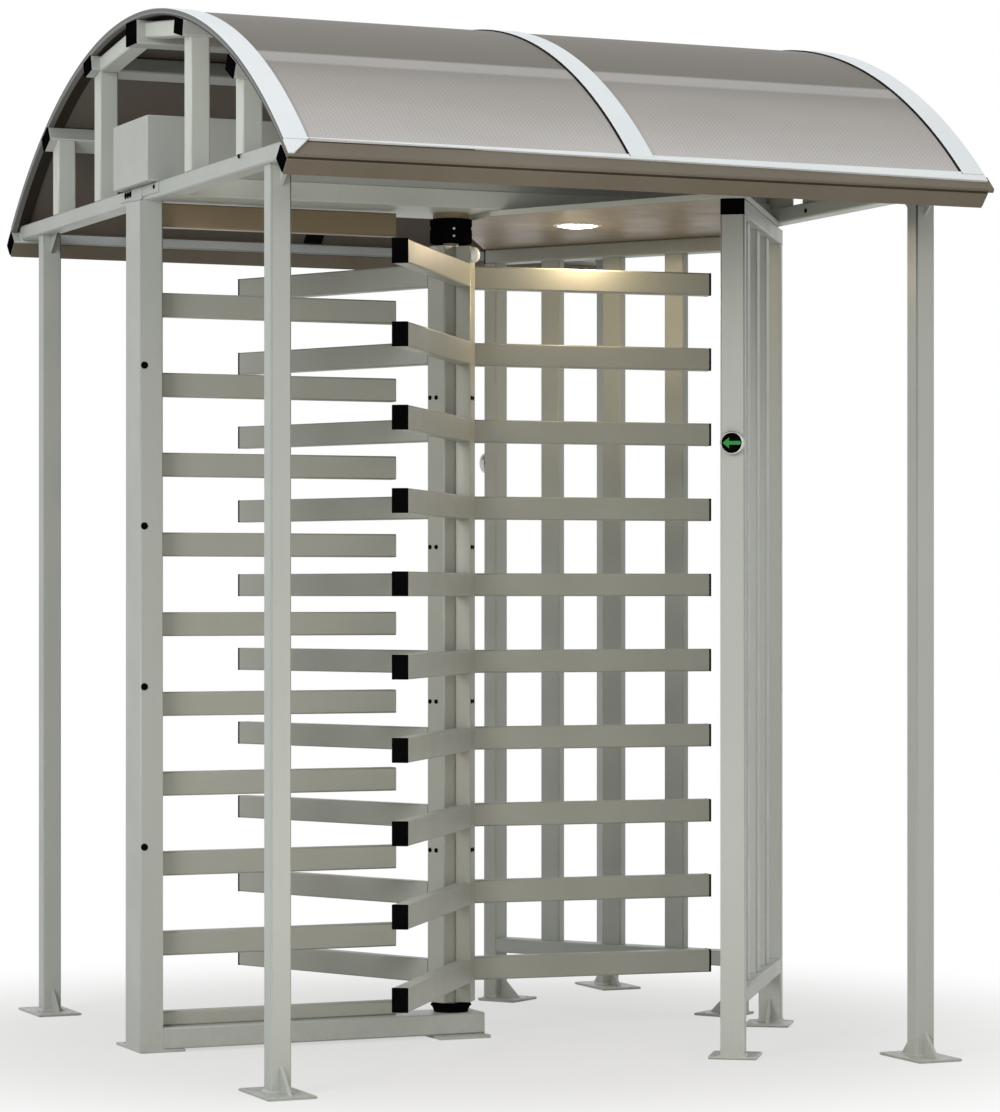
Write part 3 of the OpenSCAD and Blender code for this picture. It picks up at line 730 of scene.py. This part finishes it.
# %% [markdown]
# ### Eave trim
# The brown trim at each eave has a thick top edge, a shadow groove under it and a skirt round the purlin; a dark strip
# in the groove is painted shade. A white flashing covers the joint between the sheet's lower end and the trim, with a
# slanted foot under the left strip, and a thin white strip painted light lies on the purlin's inner side.
# Boxes could stand for the trim, but they would leave seams. It is a straight profile, so its section is drawn once,
# round the purlin, and drawn out along X.

# %% Helpers for straight pieces
def pull(edit, face, move):
    """Draws a face out by a vector and returns the faces at its far end."""
    pulled = bmesh.ops.extrude_face_region(edit, geom=[face])["geom"]
    bmesh.ops.translate(edit, vec=move, verts=[v for v in pulled if isinstance(v, bmesh.types.BMVert)])
    return [f for f in pulled if isinstance(f, bmesh.types.BMFace)]


def prism(edit, corners, move):
    """A flat face through its corners, drawn out by a vector."""
    return pull(edit, edit.faces.new([edit.verts.new(corner) for corner in corners]), move)


def to_eave(edit, side):
    """Takes a shape drawn with (x, across, out) to the eave at one side: -1 in front, 1 behind."""
    turn = Matrix.Rotation(-eave_angle, 4, "X")
    mirrored = Matrix.Scale(side, 4, (0, 1, 0))
    bmesh.ops.transform(edit, matrix=mirrored @ Matrix.Translation((0, 0, roof_centre)) @ turn, verts=edit.verts)
    bmesh.ops.recalc_face_normals(edit, faces=edit.faces)


def drawn_out(name, parts, side, finish, node, soft=0.0008):
    """Straight pieces along X: each part is a list of (across, out) corners with its two ends."""
    edit = bmesh.new()
    for corners, x0, x1 in parts:
        prism(edit, [(x0, a, r) for a, r in corners], (x1 - x0, 0, 0))
    bmesh.ops.recalc_face_normals(edit, faces=edit.faces)
    bevel_edges(edit, sharp_edges(edit, 40), soft)
    to_eave(edit, side)
    return add_object(name, edit, finish, node)


FLASH_THICKNESS = 0.0055
FLASH_BOTTOM = ROOF_RADIUS - 0.0012 - FLASH_THICKNESS


def flashing(name, outline, side, node):
    """A flat white plate over the sheet's lower end and the trim, from its outline of (x, across) corners."""
    edit = bmesh.new()
    prism(edit, [(x, a, FLASH_BOTTOM) for x, a in outline], (0, 0, FLASH_THICKNESS))
    bmesh.ops.recalc_face_normals(edit, faces=edit.faces)
    bevel_edges(edit, list(edit.edges), 0.0005)
    to_eave(edit, side)
    add_object(name, edit, white_trim, node)


print("flashing from radius", round(FLASH_BOTTOM, 4))

# %% Eave sections
PURLIN_WIDTH = 0.050
PURLIN_TOP = math.sqrt(STEEL_RADIUS ** 2 - (PURLIN_WIDTH / 2) ** 2) - 0.0001
SLAB_TOP = PURLIN_TOP + 0.011
SLAB_EDGE = 0.0235
SKIRT_FACE = 0.0285
SKIRT_FOOT = PURLIN_TOP - 0.043
slab_section = [(-0.026, PURLIN_TOP), (-0.026, SLAB_TOP), (0.020, SLAB_TOP), (SLAB_EDGE, SLAB_TOP - 0.003),
                (SLAB_EDGE, PURLIN_TOP + 0.0062), (SLAB_EDGE, PURLIN_TOP)]
trim_section = slab_section[:5] + [
    (0.0262, PURLIN_TOP + 0.0062), (0.0262, PURLIN_TOP + 0.0002), (SKIRT_FACE, PURLIN_TOP - 0.0008),
    (SKIRT_FACE, SKIRT_FOOT + 0.001), (SKIRT_FACE - 0.001, SKIRT_FOOT), (-0.022, SKIRT_FOOT),
    (-0.022, SKIRT_FOOT + 0.003), (0.0251, SKIRT_FOOT + 0.003), (0.0251, PURLIN_TOP)]
groove_section = [(0.0236, PURLIN_TOP + 0.0003), (0.0236, PURLIN_TOP + 0.0060), (0.0268, PURLIN_TOP + 0.0060),
                  (0.0268, PURLIN_TOP + 0.0003)]
# A thin white strip on the purlin's inner side is painted light.
painted_light_section = [(-0.0257, PURLIN_TOP - 0.036), (-0.0252, PURLIN_TOP - 0.036), (-0.0252, PURLIN_TOP - 0.004),
                 (-0.0257, PURLIN_TOP - 0.004)]
flash_x = strip_low + 0.05
flash_outline = [(flash_x, -0.036), (strip_high, -0.036), (strip_high, -0.004), (flash_x, -0.034)]
foot_outline = [(strip_low, -0.030), (strip_low + STRIP, -0.030), (strip_low + 0.014, 0.0215), (strip_low, 0.0215)]
skirt_end = strip_high - 0.009
painted_light_ends = strip_low + 0.02, strip_high - 0.02
print("purlin's top at radius", round(PURLIN_TOP, 4))

# %% Eaves
for node, side in (("eave_front", -1), ("eave_back", 1)):
    x0, x1 = (corner.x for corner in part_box(node))
    trim = drawn_out(node + "_trim", [(trim_section, x0, skirt_end), (slab_section, skirt_end, x1)], side,
                     brown_channel, node)
    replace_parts(trim, node)
    # A dark strip in the groove is painted shade.
    drawn_out(node + "_groove", [(groove_section, x0, skirt_end)], side, groove_painted_shade, node, 0.0002)
    # The thin white strip on the purlin's inner side is painted light.
    drawn_out(node + "_painted_light_strip", [(painted_light_section, *painted_light_ends)], side, white_trim, node, 0.0001)
    flashing(node + "_flashing", flash_outline, side, node)
    flashing(node + "_strip_foot", foot_outline, side, node)
print("eave trim:", len(trim.data.polygons), "faces")

# %% [markdown]
# ## Turned pieces
# Bearings and round lamps are turned. A cylinder could be bevelled and inset into each shape, but half a section spun
# a full turn gives the whole body at once. use_merge joins the last step to the first so that the seam is closed.
# A spacer in the tray's brown tone fills the gap between the upper bearing and the header; its brown is painted shade.

# %% Helper for turned pieces
def turned(name, section, finish, node, place=None, steps=64):
    """A closed section of (radius, height) corners spun about its axis, then put in place."""
    edit = bmesh.new()
    ring = [edit.verts.new((r, 0, z)) for r, z in section]
    edges = [edit.edges.new((a, b)) for a, b in zip(ring, ring[1:] + ring[:1])]
    bmesh.ops.spin(edit, geom=[*ring, *edges], cent=(0, 0, 0), axis=(0, 0, 1), dvec=(0, 0, 0),
                   angle=2 * math.pi, steps=steps, use_merge=True, use_duplicate=False)
    bmesh.ops.remove_doubles(edit, verts=edit.verts, dist=1e-6)
    bmesh.ops.dissolve_degenerate(edit, edges=edit.edges, dist=1e-7)
    if place is not None:
        bmesh.ops.transform(edit, matrix=place, verts=edit.verts)
    bmesh.ops.recalc_face_normals(edit, faces=edit.faces)
    return add_object(name, edit, finish, node, smooth_above=32)


print("turning is ready")

# %% Bearings
BORE = 0.0202
HOUSING = 0.0548
NECK = 0.0525
cup_low, cup_high = (corner.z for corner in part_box("bottom_bearing"))
cup = turned("bottom_bearing_cup", [
    (BORE, cup_low + 0.004), (BORE, cup_high - 0.001), (0.0212, cup_high), (0.050, cup_high),
    (0.0528, cup_high - 0.0025), (0.0528, cup_high - 0.006), (0.049, cup_high - 0.0085), (0.045, cup_low + 0.004),
    (0.044, cup_low), (BORE, cup_low)], black_plastic, "bottom_bearing")
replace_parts(cup, "bottom_bearing")
head_low, head_high = (corner.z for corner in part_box("top_bearing"))
head = turned("top_bearing_housing", [
    (BORE, head_low + 0.004), (0.052, head_low + 0.004), (HOUSING, head_low + 0.007), (HOUSING, head_high - 0.044),
    (NECK, head_high - 0.041), (NECK, head_high - 0.036), (HOUSING, head_high - 0.033),
    (HOUSING, head_high - 0.017), (0.0538, head_high - 0.016), (BORE, head_high - 0.016)],
    black_plastic, "top_bearing")
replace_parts(head, "top_bearing")
# The spacer's brown is painted shade under the header.
turned("top_bearing_spacer", [(BORE, head_high - 0.0158), (0.047, head_high - 0.0158), (0.047, head_high),
                              (BORE, head_high)], tray_coat_and_painted_shade, "top_bearing")
print("bearings:", cup.name, head.name)

# %% Ceiling lamp
lamp_low, lamp_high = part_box("ceiling_lamp")
lamp_place = Matrix.Translation(((lamp_low.x + lamp_high.x) / 2, 0, lamp_low.z))
lens = turned("ceiling_lamp_lens", [
    (0.0, -0.004), (0.022, -0.0034), (0.040, -0.0015), (0.052, 0.0025), (0.053, 0.012), (0.0, 0.012)],
    lamp_lens, "ceiling_lamp", lamp_place)
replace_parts(lens, "ceiling_lamp")
turned("ceiling_lamp_rim", [
    (0.052, 0.0022), (0.054, 0.0), (0.060, 0.0), (0.064, 0.0032), (0.064, 0.0042), (0.0525, 0.0042)],
    zinc, "ceiling_lamp", lamp_place)
print("ceiling lamp at height", round(lamp_low.z, 3))

# %% [markdown]
# ### Signal lamps
# Each outer cage post carries a round signal lamp: a black body with a bright rim and a green arrow.
# The case and rim are turned. The arrow is a plain generic one: a text sign would tie it to a font, so it is drawn as
# seven corners and given a little thickness.

# %% Signal lamps
CAGE_TURN = math.radians(-34)
SIGNAL_X, SIGNAL_Y = 0.785, -0.390
ARROW = [(-0.0225, 0.0), (-0.0065, 0.0135), (-0.0065, 0.0045), (0.0220, 0.0045), (0.0220, -0.0045),
         (-0.0065, -0.0045), (-0.0065, -0.0135)]
CASE = [(0.0, 0.0), (0.0286, 0.0), (0.0286, 0.0105), (0.0254, 0.0150), (0.0250, 0.0135), (0.0, 0.0135)]
RIM = [(0.0287, 0.0004), (0.0299, 0.0004), (0.0300, 0.0080), (0.0292, 0.0130), (0.0278, 0.0166),
       (0.0262, 0.0176), (0.0252, 0.0172), (0.0252, 0.0156), (0.0287, 0.0107)]
panel_turn = Matrix.Rotation(CAGE_TURN, 4, "Z")
signal_low, signal_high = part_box("indicator_front")
signal_z = (signal_low.z + signal_high.z) / 2
facing = Matrix.Translation((SIGNAL_X, SIGNAL_Y, signal_z)) @ Matrix.Rotation(math.pi / 2, 4, "X")
for node, side in (("indicator_front", 1), ("indicator_back", -1)):
    place = Matrix.Scale(side, 4, (0, 1, 0)) @ panel_turn @ facing
    case = turned(node + "_case", CASE, black_plastic, node, place)
    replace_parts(case, node)
    turned(node + "_rim", RIM, zinc, node, place)
    edit = bmesh.new()
    prism(edit, [(x, y, 0.0134) for x, y in ARROW], (0, 0, 0.0012))
    bmesh.ops.transform(edit, matrix=place, verts=edit.verts)
    bmesh.ops.recalc_face_normals(edit, faces=edit.faces)
    add_object(node + "_arrow", edit, signal_green, node)
print("signal lamps at height", round(signal_z, 3))

# %% [markdown]
# ## Screws, plugs and bolts
# Heads could be copies of one object, but each copy would count as a piece. So heads of one kind and body share a
# mesh: a disc is pulled up, drawn in to a dome and given a socket, once for each place.
# The three white domed bolts on the rotor's uprights are larger and smoother, so they are turned.

# %% Helpers for heads
HEAD_SIDES = 20


def head_at(edit, place, direction, radius, height, socket):
    """Adds a domed head at a place, standing along a direction."""
    first = len(edit.verts)
    circle = bmesh.ops.create_circle(edit, cap_ends=True, segments=HEAD_SIDES, radius=radius)
    top = pull(edit, circle["verts"][0].link_faces[0], (0, 0, height * 0.5))
    bmesh.ops.inset_region(edit, faces=top, thickness=radius * 0.16, depth=height * 0.3)
    bmesh.ops.inset_region(edit, faces=top, thickness=radius * 0.28, depth=height * 0.2)
    if socket:
        bmesh.ops.inset_region(edit, faces=top, thickness=radius * 0.04, depth=-height * 0.5)
    edit.verts.ensure_lookup_table()
    turn = Vector(direction).to_track_quat("Z", "Y").to_matrix().to_4x4()
    bmesh.ops.transform(edit, matrix=Matrix.Translation(place) @ turn, verts=edit.verts[first:])


def heads(name, places, radius, height, finish, node, socket=True):
    """One object with a head at each (place, direction)."""
    edit = bmesh.new()
    for place, direction in places:
        head_at(edit, place, direction, radius, height, socket)
    bmesh.ops.recalc_face_normals(edit, faces=edit.faces)
    add_object(name, edit, finish, node, smooth_above=50)


print("sides of a head:", HEAD_SIDES)

# %% Screws of the comb, rotor and bearing
COMB_PLUG_X, COMB_FACE_Y = -0.849, -0.060
COMB_PLUG_HEIGHTS = (1.713, 1.313, 0.913, 0.514)
comb_plugs = [((COMB_PLUG_X, COMB_FACE_Y, z), (0, -1, 0)) for z in COMB_PLUG_HEIGHTS]
heads("comb_post_plugs", comb_plugs, 0.009, 0.003, black_plastic, "comb_post", socket=False)

WING_TURN = -5
UPRIGHT_FACE = 0.058
SCREW_HEIGHTS = (1.651, 1.265, 0.866, 0.482)
DOME_X, DOME_HEIGHT = 0.004, 2.022
DOME = [(0.0, 0.0), (0.0205, 0.0), (0.0205, 0.004), (0.0195, 0.0085), (0.0165, 0.0135), (0.0110, 0.0175),
        (0.0045, 0.0193), (0.0, 0.0195)]
upright_screws = []
dome_places = []
for k in range(3):
    wing = Matrix.Rotation(math.radians(WING_TURN + 120 * k), 3, "Z")
    outward = wing @ Vector((0, 1, 0))
    upright_screws += [(wing @ Vector((x, UPRIGHT_FACE, z)), outward) for z in SCREW_HEIGHTS for x in (-0.002, 0.020)]
    dome_places.append(Matrix.Translation(wing @ Vector((DOME_X, UPRIGHT_FACE, DOME_HEIGHT))) @
                       outward.to_track_quat("Z", "Y").to_matrix().to_4x4())
heads("upright_screws", upright_screws, 0.0058, 0.0028, black_plastic, "rotor_uprights")
for k, place in enumerate(dome_places):
    turned(f"upright_dome_{k + 1}", DOME, white_trim, "rotor_uprights", place, steps=32)

to_front_left = Matrix.Rotation(math.radians(8.5), 3, "Z") @ Vector((-0.381, -0.924, 0)).normalized()
bearing_screws = [(to_front_left * 0.0545 + Vector((0, 0, z)), to_front_left) for z in (2.087, 2.068)]
heads("bearing_screws", bearing_screws, 0.0034, 0.0016, zinc, "top_bearing")
print("heads:", len(comb_plugs), len(upright_screws), len(dome_places), len(bearing_screws))

# %% [markdown]
# ### Bolted joints of the end beams
# A long thin plate and a short thicker one lie on the left end beam beside the comb post's head. Three small plugs
# sit in a row on the long one, and screws stand on it and on both beams.
# At the right end one notched plate stands on the beam, across the header's end. It could be three plates, but one
# outline leaves no seams between them.

# %% Left beam
PLATE_BANDS = ((-0.150, 0.160, -0.0275, -0.0015, 0.0025), (-0.020, 0.060, -0.034, -0.0015, 0.0045))
beam_low, beam_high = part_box("end_beam_left")
edit = bmesh.new()
for y0, y1, z0, z1, thick in PLATE_BANDS:
    prism(edit, [(beam_low.x, y0, beam_high.z + z0), (beam_low.x, y1, beam_high.z + z0),
                 (beam_low.x, y1, beam_high.z + z1), (beam_low.x, y0, beam_high.z + z1)], (-thick, 0, 0))
bmesh.ops.recalc_face_normals(edit, faces=edit.faces)
bevel_edges(edit, list(edit.edges), 0.001, 2)
add_object("beam_plate", edit, light_coat, "end_beam_left")

to_left = (-1, 0, 0)
plate_x = beam_low.x - 0.0024
slot_z = beam_high.z - 0.012
slot_plugs = [((plate_x, y, slot_z), to_left) for y in (0.075, 0.095, 0.115)]
heads("beam_plate_plugs", slot_plugs, 0.0085, 0.002, black_plastic, "end_beam_left", socket=False)
plate_screws = [((plate_x, -0.118, slot_z), to_left), ((plate_x, -0.756, beam_high.z - 0.005), to_left)]
heads("beam_plate_screws", plate_screws, 0.0055, 0.003, rubber_seal, "end_beam_left")
print("beam plate at", round(beam_low.x, 3))

# %% Right beam
right_low, right_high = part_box("end_beam_right")
right_screws = [((right_low.x, y, right_low.z + 0.018), to_left) for y in (-0.346, 0.346)]
heads("right_beam_screws", right_screws, 0.006, 0.003, rubber_seal, "end_beam_right")

END_PLATE_X, END_PLATE_THICKNESS = 0.862, 0.004
END_PLATE_OUTLINE = [(-0.343, 0.001), (-0.315, 0.001), (-0.315, 0.022), (-0.259, 0.022), (-0.259, 0.001),
                     (0.343, 0.001), (0.343, 0.060), (-0.343, 0.060)]
edit = bmesh.new()
prism(edit, [(END_PLATE_X, y, right_high.z + z) for y, z in END_PLATE_OUTLINE], (END_PLATE_THICKNESS, 0, 0))
bmesh.ops.recalc_face_normals(edit, faces=edit.faces)
bevel_edges(edit, list(edit.edges), 0.0008)
# The plate's paler coat is painted light.
add_object("header_end_plate", edit, painted_light_coat, "end_beam_right")
print("end plate at", END_PLATE_X)

# %% [markdown]
# ## Weld beads
# Posts are welded to their base plates all round. A tube swept along the joint would follow it too, but a bead is a
# sloping fillet, so a thin slab the size of the post and its bead is drawn in at its top by as much as it rises.

# %% Weld beads
PLATE_TOP = 0.008
BEAD = 0.005
BEAD_FOOT = 0.0008


def weld_bead(edit, x0, x1, y0, y1, turn=None):
    """A bead whose foot runs from x0 to x1 and from y0 to y1 on a base plate."""
    first = len(edit.verts)
    top = prism(edit, [(x, y, PLATE_TOP) for x, y in ((x0, y0), (x1, y0), (x1, y1), (x0, y1))], (0, 0, BEAD_FOOT))
    bmesh.ops.inset_region(edit, faces=top, thickness=BEAD, depth=BEAD)
    if turn is not None:
        edit.verts.ensure_lookup_table()
        bmesh.ops.transform(edit, matrix=turn, verts=edit.verts[first:])


CANOPY_POST_HALF = 0.025
CANOPY_POSTS = [(x, y) for x in (-0.806, 0.872) for y in (-0.919, 0.919)]
COMB_POST = (-0.8595, -0.795, -0.0595, 0.065)
CAGE_POSTS = ((0.750, 0.820, -0.3895, -0.345), (0.750, 0.820, 0.385, 0.4295))
around = CANOPY_POST_HALF + BEAD
edit = bmesh.new()
for x, y in CANOPY_POSTS:
    weld_bead(edit, x - around, x + around, y - around, y + around)
weld_bead(edit, *COMB_POST)
for side in (1, -1):
    for post in CAGE_POSTS:
        weld_bead(edit, *post, Matrix.Scale(side, 4, (0, 1, 0)) @ panel_turn)
bmesh.ops.recalc_face_normals(edit, faces=edit.faces)
add_object("post_weld_beads", edit, light_coat, "comb_post")
print("weld beads on", len(CANOPY_POSTS) + 1 + 2 * len(CAGE_POSTS), "posts")

# %% [markdown]
# ## Pieces that keep their solid
# Small or hidden solids could be bevelled too, but they are right as they are and only need their finish. The mesh
# of a solid is never changed.

# %% Finish the other solids
KEPT_SOLIDS = {"rotor_foot": light_coat, "rotor_core": light_coat, "arch_gaskets": gasket_finish}
for node, finish in KEPT_SOLIDS.items():
    nodes[node].data.materials.clear()
    nodes[node].data.materials.append(finish)
print("kept:", len(KEPT_SOLIDS))
